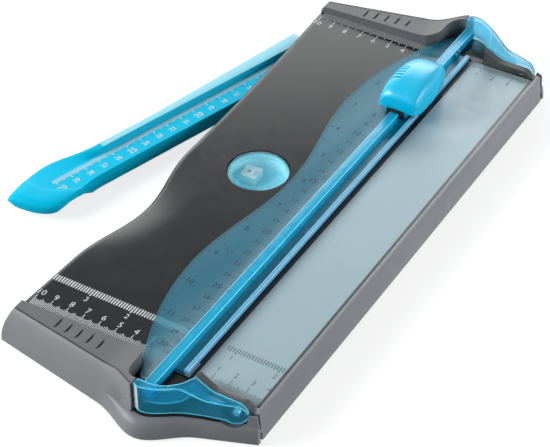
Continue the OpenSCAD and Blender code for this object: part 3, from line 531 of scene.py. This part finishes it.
def head_ring(u, inset, drop):
    """Section of the head: a squarer right flank with a small step, and a rounder left shoulder."""
    y = HEAD_Y + mix(-HEAD_L / 2 + inset, HEAD_L / 2 - inset, u)
    nose, tail = bulge(u / NOSE_SHARE), bulge((1 - u) / TAIL_SHARE)
    wide = mix(NOSE_WIDE, 1, nose) * mix(TAIL_WIDE, 1, tail)
    tall = mix(NOSE_TALL, 1, nose) * mix(TAIL_TALL, 1, tail)
    mid = (HEAD_LEFT + HEAD_RIGHT) / 2
    half = (HEAD_RIGHT - HEAD_LEFT) / 2 * wide - inset
    rise = (HEAD_TOP - HEAD_BASE) * tall - inset
    ring = [(mid - half * FOOT_SHARE, y, HEAD_BASE - drop)]
    n = 56
    for i in range(n + 1):
        a = pi - pi * i / n
        c, s = cos(a), max(sin(a), 0)
        p = RIGHT_POWER if c > 0 else LEFT_POWER
        x = mid + half * (1 if c > 0 else -1) * abs(c) ** p
        z = HEAD_BASE + rise * mix(SIDE_SHARE, 1, s ** p)
        if c > 0 and not inset:
            x -= FLANK_STEP * ease((HEAD_BASE + FLANK_H - z) / 0.9) * ease((x + 5) / 5)
        ring.append((x, y, z))
    ring.append((mid + half * FOOT_SHARE - (0 if inset else FLANK_STEP), y, HEAD_BASE - drop))
    return ring


def shoulder_slot(y):
    """Cutter for a grip slot that follows the left shoulder of the head."""
    outline = SHOULDER + [(x - 1.0, z + 4) for x, z in SHOULDER[::-1]]
    return slab(outline, y - SLOT_HALF, y + SLOT_HALF)


def make_head():
    shares = [(1 - cos(pi * i / 44)) / 2 for i in range(45)]
    cover = skin("head_shell", [head_ring(u, 0, 0) for u in shares])
    tools = [
        skin("cutter", [head_ring(u, HEAD_T, 1) for u in shares]),
        block(-16.4, 0, 15, -5.9, 200, 24.5),
        block(-2.8, 0, 15, -0.1, 200, 22.1),
        block(-3.9, HEAD_FRONT - 2, 15, 5, HEAD_FRONT + 5, 23.8),
        block(-30, HEAD_FRONT - 2, 15, -18.3, HEAD_FRONT + 5, 24.2),
    ]
    for y in (HEAD_Y - 6, HEAD_Y + 3):
        tools.append(block(1, y, 15, 6, y + 1.6, 22.3))
    for i in range(SLOT_N):
        tools.append(shoulder_slot(HEAD_Y - 4.6 + (i - SLOT_N // 2) * SLOT_PITCH))
    cut(cover, *tools)
    piece(cover, "press_head", CYAN, 0.3, ["head_cover"])
    nose = slab(NOSE_ARCH, HEAD_FRONT - 1.5, HEAD_FRONT - 0.2, "carriage_nose")
    piece(nose, "carriage", BLACK, 0.2)
    for name, x in (("left", -16.1), ("right", -7.9)):
        cheek = block(x, HEAD_FRONT - 0.3, 19.8, x + 1.9, HEAD_FRONT + 5.2, 23.0, "carriage_cheek_" + name)
        piece(cheek, "carriage", BLACK, 0.2)


# Extension ruler: s runs from the pivot to the tip, t across it towards the table

PIVOT = (-86.0, 144.8)
PIVOT_HOLE, WASHER_SEAT = 4.05, 9
RULER_TURN = radians(-106.9)
RULER_FACE, RULER_TOP, RULER_L = 10.4, 13.4, 241
HUB_R, HUB_END = 11.0, 7.5
ARM_START, ARM_TAPER, ARM_OUT, ARM_OUT_SLIM, ARM_IN = 19, 121, 17.5, 12.2, 8
HANDLE_OUT, HANDLE_IN, HANDLE_REACH = 212, 224, 34
OUT_SWELL, IN_SWELL, OUT_TIP, IN_TIP = 6.8, 5.6, 6.5, 25.1
RIDGE_END, FENCE_END = 176, 223.6
CREST_T, FOOT_T, CREST_END_T, FOOT_END_T = -8.0, -6.0, -13.8, -13.4
DOME_Z, DOME_W = 11.3, 8
EDGE_TOP = [(176, 13.2), (185, 12.8), (204, 11.0), (219, 9.4), (231, 8.2), (241, 7.3)]
EDGE_LOW = [
    (198, 1.5), (204.5, 5.2), (211, 7.0), (217, 7.8), (222.5, 6.8),
    (226, 5.8), (230, 5.0), (235, 4.2), (239.5, 4.4), (241, 6.8),
]


def ruler_place(s, t):
    c, k = cos(RULER_TURN), sin(RULER_TURN)
    return PIVOT[0] + s * c - t * k, PIVOT[1] + s * k + t * c


def hub(s):
    return sqrt(max(HUB_R ** 2 - s * s, 0))


def ruler_out(s):
    if s < 0:
        return hub(s)
    if s < ARM_START:
        return HUB_R
    if s < HANDLE_OUT:
        arm = mix(ARM_OUT, ARM_OUT_SLIM, clamp((s - ARM_START) / ARM_TAPER))
        return arm + OUT_SWELL * bell((s - HANDLE_OUT) / HANDLE_REACH)
    return ARM_OUT_SLIM + OUT_SWELL - OUT_TIP * ((s - HANDLE_OUT) / (RULER_L - HANDLE_OUT)) ** 2


def ruler_in(s):
    if s < HUB_END:
        return hub(s)
    if s < HANDLE_IN:
        return ARM_IN + IN_SWELL * bell((s - HANDLE_IN) / HANDLE_REACH)
    return ARM_IN + IN_SWELL - IN_TIP * ((s - HANDLE_IN) / (RULER_L - HANDLE_IN)) ** 2


def ruler_height(s, t):
    """The scale face lies between the fence on one side and the domed handle round the tip."""
    if s < ARM_START:
        return RULER_FACE
    if s < RIDGE_END:
        return mix(RULER_TOP, RULER_FACE, clamp((t - CREST_T) / (FOOT_T - CREST_T)))
    edge = along(s, EDGE_TOP)
    taper = clamp((s - RIDGE_END) / (FENCE_END - RIDGE_END))
    crest_t, foot_t = mix(CREST_T, CREST_END_T, taper), mix(FOOT_T, FOOT_END_T, taper)
    side = mix(RULER_TOP - 0.3, RULER_FACE, taper)
    out = ruler_out(s)
    if t < crest_t:
        fence = mix(edge, side, clamp((t + out) / (crest_t + out)))
    else:
        fence = mix(side, RULER_FACE, clamp((t - crest_t) / (foot_t - crest_t)))
    rim = min(t + out, ruler_in(s) - t, RULER_L - s)
    dome = mix(edge, max(edge, DOME_Z), bulge(rim / DOME_W))
    return mix(fence, dome, ease((s - 223.0 + 0.0345 * (t + 12) ** 2) / 5))


def ruler_lines(s):
    """Places across the ruler where its mesh has a line of points."""
    out, inside = -ruler_out(s), ruler_in(s)
    lines = [out, out + 0.5, out + 1.2, out + 2.5, CREST_T, -7.6, -7, -6.4, FOOT_T]
    lines += steps(-5.2, 12, 1.4) + [inside - 1.2, inside - 0.5, inside]
    return sorted(min(max(t, out), inside) for t in lines)


def make_ruler():
    stations = steps(-HUB_R, 0, 1.2) + [4, HUB_END, 10, 14, ARM_START - 0.02, ARM_START]
    stations += steps(23, 172, 6) + [RIDGE_END - 0.02, RIDGE_END] + steps(177.5, RULER_L, 1.25)
    tops, lows = [], []
    for s in stations:
        tops.append([(*ruler_place(s, t), ruler_height(s, t)) for t in ruler_lines(s)])
        lows.append([(x, y, min(along(s, EDGE_LOW), z - 0.4)) for x, y, z in tops[-1]])
    n, m = len(tops[0]), len(tops)
    grid = []
    for i in range(m - 1):
        for j in range(n - 1):
            grid.append([i * n + j, i * n + j + 1, (i + 1) * n + j + 1, (i + 1) * n + j])
    low = n * m
    rim = [i * n for i in range(m)] + [(m - 1) * n + j for j in range(1, n)]
    rim += [i * n + n - 1 for i in range(m - 2, -1, -1)] + [j for j in range(n - 2, 0, -1)]
    sides = [[a, b, low + b, low + a] for a, b in zip(rim, rim[1:] + rim[:1])]
    under = [[low + i for i in face[::-1]] for face in grid]
    points = [p for rows in (tops, lows) for row in rows for p in row]
    ruler = raw("swing_ruler", points, grid + under + sides)
    hollow = steps(21, 195, 4)
    outline = [ruler_place(s, -ruler_out(s) + 2) for s in hollow]
    outline += [ruler_place(s, ruler_in(s) - 2) for s in hollow[::-1]]
    cut(
        ruler,
        prism(outline, 0, RULER_FACE - 2),
        prism(disc(*PIVOT, WASHER_SEAT, 48), 0, 3.2),
        prism(disc(*PIVOT, PIVOT_HOLE, 48), 0, 14),
    )
    piece(ruler, "ruler", RULER, 0.4, ["extension_ruler"])
    # Top faces of the ridge take the paler finish: painted reflection.
    ruler.data.materials.append(RIDGE)
    for face in ruler.data.polygons:
        if face.normal.z > 0.9 and face.center.z > (RULER_TOP - 0.1) * MM:
            face.material_index = 1


# Raised ring near the edge of the lid, and a black ring laid in the gap round it as painted shade

LID_RING = [(15.2, 16.9), (15.25, 17.22), (15.45, 17.35), (16.1, 17.35), (16.3, 17.22), (16.35, 16.9)]
GAP_RING = [(17.3, 15.4), (17.95, 15.4), (17.95, 15.9), (17.3, 15.9)]


def hoop(name, profile):
    """A ring round the storage well with the given section."""
    n, k = 96, len(profile)
    points, faces = [], []
    for i in range(n):
        a = 2 * pi * i / n
        points += [(WELL[0] + r * cos(a), WELL[1] + r * sin(a), z) for r, z in profile]
        here, ahead = i * k, (i + 1) % n * k
        for j in range(k):
            side = (j + 1) % k
            faces.append([here + j, here + side, ahead + side, ahead + j])
    return raw(name, points, faces)


def make_rings():
    piece(hoop("lid_rim", LID_RING), "lid", LID, 0.05)
    # Black ring in the gap round the lid: painted shade.
    piece(hoop("well_gap_shade", GAP_RING), "base", BLACK, 0.1)


# Printed scales

INCH = 25.4
SIXTEENTH = INCH / 16
PRINT_LIFT = 0.03
GLYPHS = {}


def glyphs(text):
    """Vertices and faces of a number, centred and of height 1."""
    if text not in GLYPHS:
        curve = bpy.data.curves.new("glyph", "FONT")
        curve.body = text
        curve.resolution_u = 3
        obj = bpy.data.objects.new("glyph", curve)
        scene.collection.objects.link(obj)
        mesh = final_mesh(obj)
        xs = [v.co.x for v in mesh.vertices]
        ys = [v.co.y for v in mesh.vertices]
        size = max(ys) - min(ys)
        mid = ((max(xs) + min(xs)) / 2, (max(ys) + min(ys)) / 2)
        GLYPHS[text] = (
            [((v.co.x - mid[0]) / size, (v.co.y - mid[1]) / size) for v in mesh.vertices],
            [list(f.vertices) for f in mesh.polygons],
        )
        bpy.data.objects.remove(obj)
        bpy.data.curves.remove(curve)
        bpy.data.meshes.remove(mesh)
    return GLYPHS[text]


class Scale:
    """Ticks and numbers printed on a level face; place turns its own x and y into the model's."""

    def __init__(self, z, place=None):
        self.z = z + PRINT_LIFT
        self.place = place or (lambda x, y: (x, y))
        self.points = []
        self.faces = []

    def add(self, flat, faces):
        first = len(self.points)
        self.points += [(*self.place(x, y), self.z) for x, y in flat]
        self.faces += [[first + i for i in face] for face in faces]

    def bar(self, x0, y0, x1, y1):
        self.add([(x0, y0), (x1, y0), (x1, y1), (x0, y1)], [[0, 1, 2, 3]])

    def number(self, n, x, y, height, turn=0.0):
        flat, faces = glyphs(str(n))
        c, k = cos(radians(turn)) * height, sin(radians(turn)) * height
        self.add([(x + a * c - b * k, y + a * k + b * c) for a, b in flat], faces)

    def make(self, name, body, mat):
        mesh = bpy.data.meshes.new(name)
        mesh.from_pydata([(x * MM, y * MM, z * MM) for x, y, z in self.points], [], self.faces)
        work = bmesh.new()
        work.from_mesh(mesh)
        for face in work.faces:
            face.normal_update()
            if face.normal.z < 0:
                face.normal_flip()
        work.to_mesh(mesh)
        work.free()
        obj = bpy.data.objects.new(name, mesh)
        scene.collection.objects.link(obj)
        return piece(obj, body, mat)


def tick(n, short, five, ten):
    return ten if n % 10 == 0 else five if n % 5 == 0 else short


def tick_inch(n):
    return 4.4 if n % 16 == 0 else 3.4 if n % 8 == 0 else 2.7 if n % 4 == 0 else 2.0


def table_number_x(n):
    """The last number stands a little inwards, clear of the rolled edge."""
    return -min(10.0 * n, 98.8)


def table_scales():
    front = Scale(DECK_Z)
    for n in range(0, 101):
        climb = 1.5 - 0.5 * min(n % 5, 5 - n % 5)
        front.bar(-n - 0.22, -FENCE_Y, -n + 0.22, tick(n, -148.4 + climb, -146.6, -144.8))
    for n in range(1, 11):
        front.number(n, table_number_x(n), -142, 3.8)
    for n in range(5, 64):
        x = -SIXTEENTH * n
        front.bar(x - 0.4, -131.2 - (0.9 if n % 16 == 0 else 0), x + 0.4, -126.8)
        if n % 16 == 0:
            front.number(n // 16, x, -135, 3.5)
    front.make("front_table_scale", "base", PRINT_WHITE)
    rear = Scale(DECK_Z)
    for n in range(14, 101):
        rear.bar(-n - 0.18, tick(n, 150.6, 149.2, 147.4), -n + 0.18, FENCE_Y)
    for n in range(2, 11):
        rear.number(n, table_number_x(n), 144.6, 3.8)
    rear.make("rear_table_scale", "base", PRINT_WHITE)


PLATE_TOP = 19.4
PLATE_WAIST, PLATE_BELLY, BELLY_Y, PLATE_BOW = 33.6, 44, 83, 0.0033


def plate_edge(y):
    if abs(y) < BELLY_Y:
        return mix(PLATE_WAIST, PLATE_BELLY, (1 - cos(pi * y / BELLY_Y)) / 2)
    return PLATE_BELLY - PLATE_BOW * (abs(y) - BELLY_Y) ** 2


def clamp_scale():
    scale = Scale(PLATE_TOP)
    for n in range(2, 308):
        y = FENCE_Y - n
        scale.bar(-14.0, y - 0.14, tick(n, -16.3, -17.6, -19.4), y + 0.14)
    for n in range(1, 31):
        scale.number(n, -22.2, FENCE_Y - 10 * n, 3.6 if n % 5 == 0 else 2.9)
    for n in range(8, 190):
        y = FENCE_Y - SIXTEENTH * n
        edge = -plate_edge(y)
        scale.bar(edge + 0.4, y - 0.16, edge + tick_inch(n), y + 0.16)
        if n % 16 == 0:
            scale.number(n // 16, edge + 7.2, y, 3.6)
    scale.make("clamp_scale", "clamp_arm", PRINT_DARK)


PANEL_INCH_X = 11.1
PANEL_PRINT_Y = 155.8


def panel_scales():
    front = Scale(DECK_Z)
    for n in range(3, 41):
        front.bar(n - 0.2, -PANEL_PRINT_Y, n + 0.2, tick(n, -150.4, -149.2, -146.6))
    for n in range(1, 5):
        front.number(n, 10.0 * n - (0.9 if n == 4 else 0), -143.2, 3.6)
    for n in range(-3, 19):
        x = PANEL_INCH_X + SIXTEENTH * n
        front.bar(x - 0.34, -129.8 - (1 if n % 16 == 0 else 0), x + 0.34, -126.3)
    for n in (1, 2):
        front.number(n, PANEL_INCH_X + INCH * (n - 1), -133.8, 3.4)
    front.make("front_panel_scale", "base", PRINT_GREY)
    rear = Scale(DECK_Z)
    for n in range(3, 41):
        rear.bar(n - 0.18, tick(n, 151, 149.6, 148), n + 0.18, PANEL_PRINT_Y)
    for n in range(1, 4):
        rear.number(n, 10.0 * n - 0.6, 145.6, 3.6)
    rear.make("rear_panel_scale", "base", PRINT_GREY)


RULER_ZERO = 86


def ruler_scale():
    scale = Scale(RULER_FACE, ruler_place)
    for n in range(110, 302):
        s = n - RULER_ZERO
        scale.bar(s - 0.2, -5.7, s + 0.2, tick(n, -2.5, -1.7, -0.6))
    for n in range(12, 31):
        scale.number(n, 10 * n - RULER_ZERO, 3.1, 3.9 if n % 5 == 0 else 3.0, 180)
    scale.make("ruler_scale", "ruler", PRINT_WHITE)


# Dark seam between each fence and its end cap, and a black strip in the gap below each bracket as painted
# shadow

SEAM = ((-0.5, -0.5), (0.35, -0.5), (0.35, 0.1), (-0.5, 0.1))
GAP = ((-0.6, 10.6), (0.75, 10.6), (0.75, 11.35), (-0.6, 11.35))


def make_seams():
    for name, side in ENDS:
        rings = []
        for x in steps(-100.6, -16.2, 2):
            rings.append([(x, side * (seam_line(x) + dy), crest(x) + dz) for dy, dz in SEAM])
        piece(skin(name + "_seam", rings), "base", BLACK)
        # Black strip in the gap under the bracket: painted shadow.
        gap = []
        for x in steps(-14.8, 26, 1.2):
            gap.append([(x, side * (skirt_line(x) + dy), z) for dy, z in GAP])
        piece(skin(name + "_gap_shadow", gap), "base", BLACK)


# Clear hinge brackets: a hollow shell that carries the rail end and falls to the hinge

HINGE_X, HINGE_Z, HINGE_BORE, KNUCKLE = 33.0, 16.5, 2.05, 6.2
BRACKET_LEFT, CHAMFER, CHAMFER_RUN = -14.9, 0.7, 4.2
SKIRT_Z, SLOPE_LOW_Z, INNER_FOOT_Z = 11.9, 22.4, 17.4
SHELL_T = 2
HOLLOW_LEFT, HOLLOW_RIGHT = -10, 25.9


def bracket_ring(x, hollow, lean=0.0):
    """Section of a bracket, with its outer side first; only the hollow part has an inner roof."""
    out = skirt_line(x) - CHAMFER * clamp((BRACKET_LEFT + CHAMFER_RUN - x) / CHAMFER_RUN)
    bay = BAY_Y + (BAY_R if x < BAY_X else sqrt(max(BAY_R ** 2 - (x - BAY_X) ** 2, 0)))
    swell = sqrt(max(KNUCKLE ** 2 - (x - HINGE_X) ** 2, 0))
    top = crest(x) if x < HUMP_X + HUMP_RUN else mix(HUMP_Z, SLOPE_LOW_Z, ease((x - 3.5) / 17))
    low = SKIRT_Z if x < HINGE_X - KNUCKLE else min(SKIRT_Z, HINGE_Z - swell)
    if x > HINGE_X:
        top, low = min(SLOPE_LOW_Z, HINGE_Z + swell), HINGE_Z - swell
    near = bay + min(SHELL_T, 0.35 * (out - bay))
    far = out - min(SHELL_T, 0.45 * (out - bay))
    foot, roof = (INNER_FOOT_Z, top - SHELL_T) if hollow else (low, low)
    ring = [(x, out, low), (x + lean, out, top), (x + lean, bay, top), (x, bay, foot)]
    return ring + [(x, near, foot), (x, near, roof), (x, far, roof), (x, far, low)]


BEAD_SIDES = 6


def bead(name, lines, r, mat):
    """A thin round bead along each line: in a bright finish a painted highlight along the edges of a clear
    moulding, in a dark finish a painted shade line.
    """
    points, faces = [], []
    n = BEAD_SIDES
    circle = [Vector((r * cos(2 * pi * k / n), r * sin(2 * pi * k / n), 0)) for k in range(n)]
    for line in lines:
        first = len(points)
        for i, p in enumerate(line):
            ahead = Vector(line[min(i + 1, len(line) - 1)]) - Vector(line[max(i - 1, 0)])
            turn = ahead.to_track_quat("Z", "Y").to_matrix()
            points += [tuple(Vector(p) + turn @ c) for c in circle]
        last = len(points) - n
        faces += [[first + k for k in range(n)], [last + k for k in range(n)]]
        for i in range(first, last, n):
            faces += [[i + k, i + (k + 1) % n, i + n + (k + 1) % n, i + n + k] for k in range(n)]
    obj = raw(name, points, faces)
    add_group(obj, "shade", SHADE_ALL)
    piece(obj, "clamp_arm", mat)


RAIL_EDGES = [
    (-13.56, 22.56, 178), (-8.54, 22.56, 178), (-13.9, 19.5, 162), (-2.3, 20.2, 155.3), (-0.6, 20.2, 155.3),
]


def make_rail_edges():
    # Bright beads along the rail's edges: painted highlights.
    lines = [[(x, y, z) for y in steps(-half, half, 20)] for x, z, half in RAIL_EDGES]
    bead("rail_highlights", lines, 0.28, EDGE)


END_FACE = ((0, 0.06, 0.8), (1, 0.06, -0.8), (1, -0.3, -0.8), (0, -0.3, 0.8))


def make_brackets():
    hollow = [bracket_ring(x, True) for x in steps(HOLLOW_LEFT, HOLLOW_RIGHT, 1.2)]
    rings = [bracket_ring(BRACKET_LEFT, False, 0.7)]
    rings += [bracket_ring(x, False) for x in (-13.7, -12.6, -11.5, HOLLOW_LEFT)]
    rings += hollow
    rings += [bracket_ring(x, False) for x in [HOLLOW_RIGHT] + steps(26.5, 38, 0.9) + [38.6, 39, 39.18]]
    edges = (
        (0, -0.25, 0.25, rings), (1, -0.25, -0.25, rings), (2, 0.25, -0.25, rings),
        (6, 0, 0, hollow), (4, 0, 0.2, hollow),
    )
    bore = disc(HINGE_X, HINGE_Z, HINGE_BORE, 48)
    for name, side in ENDS:
        shell = skin(name + "_bracket_shell", [[(x, side * y, z) for x, y, z in ring] for ring in rings])
        cut(shell, slab(bore, side * 160, side * 165.2))
        piece(shell, "clamp_arm", SHELL, 0.35, [name + "_hinge_bracket"])
        lines = []
        for i, dy, dz, rows in edges:
            lines.append([(r[i][0], side * (r[i][1] + dy), r[i][2] + dz) for r in rows[:-1]])
        # The rear bracket's outer top edge gets a dark bead as painted shade; its other edges get bright
        # beads as painted highlights.
        if name == "rear":
            bead("rear_bracket_rim_shade", [lines.pop(1)], 0.3, RIM)
            lines.append([(r[1][0], r[1][1] - 1.1, r[1][2] - 0.15) for r in rings[3:-1]])
        bead(name + "_bracket_highlights", lines, 0.27, EDGE)
        face = []
        for r in rings[:4]:
            face.append([(r[i][0] + 0.1, side * (r[i][1] + dy), r[i][2] + dz) for i, dy, dz in END_FACE])
        piece(skin(name + "_bracket_end", face), "clamp_arm", FROST)


# Dark strip laid along the right edge of the off-cut panel as painted shade, and the stops at the rear of the
# rail

def make_panel_trim():
    # A thin dark strip on the panel's edge, where the gap beside the wall lies in shade: painted shade.
    shade_strip = block(39.5, -FENCE_Y, 16.8, 41.1, FENCE_Y, 17.08, "panel_edge_shade")
    piece(shade_strip, "base", PANEL_SHADE_GREY, 0.1)


def make_stops():
    for i, y in enumerate((150.0, 153.4)):
        stop = block(-8.4, y, 18.9, -6.3, y + 1.8, 22.2, "rail_stop_%d" % (i + 1))
        piece(stop, "clamp_arm", RAIL, 0.3)


# Floor, world and lights

FLOOR_GLOW = 0.76
WORLD_LIGHT, WORLD_SEEN = 0.14, 1.0


def seen_rays(tree):
    """1 where the camera sees the surface, directly, mirrored or through a clear piece; otherwise 0."""
    path = add_node(tree, "ShaderNodeLightPath")
    seen = path.outputs["Is Camera Ray"]
    for ray in ("Is Glossy Ray", "Is Transmission Ray"):
        either = add_node(tree, "ShaderNodeMath", operation="MAXIMUM")
        tree.links.new(seen, either.inputs[0])
        tree.links.new(path.outputs[ray], either.inputs[1])
        seen = either.outputs[0]
    return seen


def make_floor():
    mesh = bpy.data.meshes.new("floor")
    mesh.from_pydata([(-4, -4, 0), (4, -4, 0), (4, 4, 0), (-4, 4, 0)], [], [[0, 1, 2, 3]])
    floor = bpy.data.objects.new("floor", mesh)
    scene.collection.objects.link(floor)
    mat = bpy.data.materials.new("pale_floor")
    mat.use_nodes = True
    tree = mat.node_tree
    shader = tree.nodes["Principled BSDF"]
    shader.inputs["Base Color"].default_value = (0.36, 0.365, 0.37, 1)
    shader.inputs["Roughness"].default_value = 0.9
    shader.inputs["Specular IOR Level"].default_value = 0.0
    level = add_node(tree, "ShaderNodeMath", operation="MULTIPLY")
    level.inputs[1].default_value = FLOOR_GLOW
    tree.links.new(seen_rays(tree), level.inputs[0])
    glow = add_node(tree, "ShaderNodeEmission")
    tree.links.new(level.outputs[0], glow.inputs["Strength"])
    both = add_node(tree, "ShaderNodeAddShader")
    tree.links.new(shader.outputs["BSDF"], both.inputs[0])
    tree.links.new(glow.outputs["Emission"], both.inputs[1])
    tree.links.new(both.outputs["Shader"], tree.nodes["Material Output"].inputs["Surface"])
    mesh.materials.append(mat)


def make_world():
    world = bpy.data.worlds.new("world")
    scene.world = world
    world.use_nodes = True
    tree = world.node_tree
    back = tree.nodes["Background"]
    back.inputs["Color"].default_value = (1, 1, 1, 1)
    level = add_node(tree, "ShaderNodeMapRange")
    level.inputs["To Min"].default_value = WORLD_LIGHT
    level.inputs["To Max"].default_value = WORLD_SEEN
    tree.links.new(seen_rays(tree), level.inputs["Value"])
    tree.links.new(level.outputs["Result"], back.inputs["Strength"])


def area_light(name, place, target, width, height, power):
    light = bpy.data.lights.new(name, "AREA")
    light.shape = "RECTANGLE"
    light.size = width
    light.size_y = height
    light.energy = power
    obj = bpy.data.objects.new(name, light)
    scene.collection.objects.link(obj)
    aim = Vector(target) - Vector(place)
    obj.matrix_world = Matrix.Translation(place) @ aim.to_track_quat("-Z", "Y").to_matrix().to_4x4()


def make_lights():
    area_light("rear_softbox", (-1.08, 1.8, 0.88), (0, 0.1, 0.02), 2.0, 1.0, 30)
    area_light("key_softbox", (-1.8, -1.1, 0.95), (-0.05, -0.1, 0), 1.5, 1.0, 66)
    area_light("side_softbox", (1.9, 0.4, 0.6), (0, 0, 0), 1.7, 1.1, 31)


# The scene

make_camera()
make_world()
make_lights()
make_floor()
make_table()
make_head()
make_ruler()
make_rings()
table_scales()
clamp_scale()
panel_scales()
ruler_scale()
make_seams()
make_brackets()
make_rail_edges()
make_panel_trim()
make_stops()
dress(WALL, 0.25, "front_end_cap", "rear_end_cap")
dress(TRAY, 0.25, "base_tray")
dress(DARK, 0.3, "front_fence", "rear_fence")
even_shading(nodes["front_fence"])
even_shading(nodes["rear_fence"])
dress(PANEL, 0.25, "offcut_panel")
dress(BLACK, 0.2, "cutting_strip", "head_carriage")
dress(CLEAR, 0.35, "clamp_plate")
dress(RAIL, 0.4, "guide_rail")
dress(LID, 0.3, "storage_lid")
dress(WHITE, 0.3, "blade_cartridge", "spare_cartridge")
dress(CUP, 0.2, "storage_cup")
dress(STEEL, 0.1, "tray_screws", "front_hinge_pin", "rear_hinge_pin")
dress(STEEL, 0.1, "blade_axle", "ruler_washer", "ruler_pivot_screw")
dress(STEEL, 0.04, "rotary_blade")
dress(STEEL, 0.01, "press_spring")
dress(RUBBER, 0.4, "rubber_feet")
scene.view_settings.view_transform = "Standard"
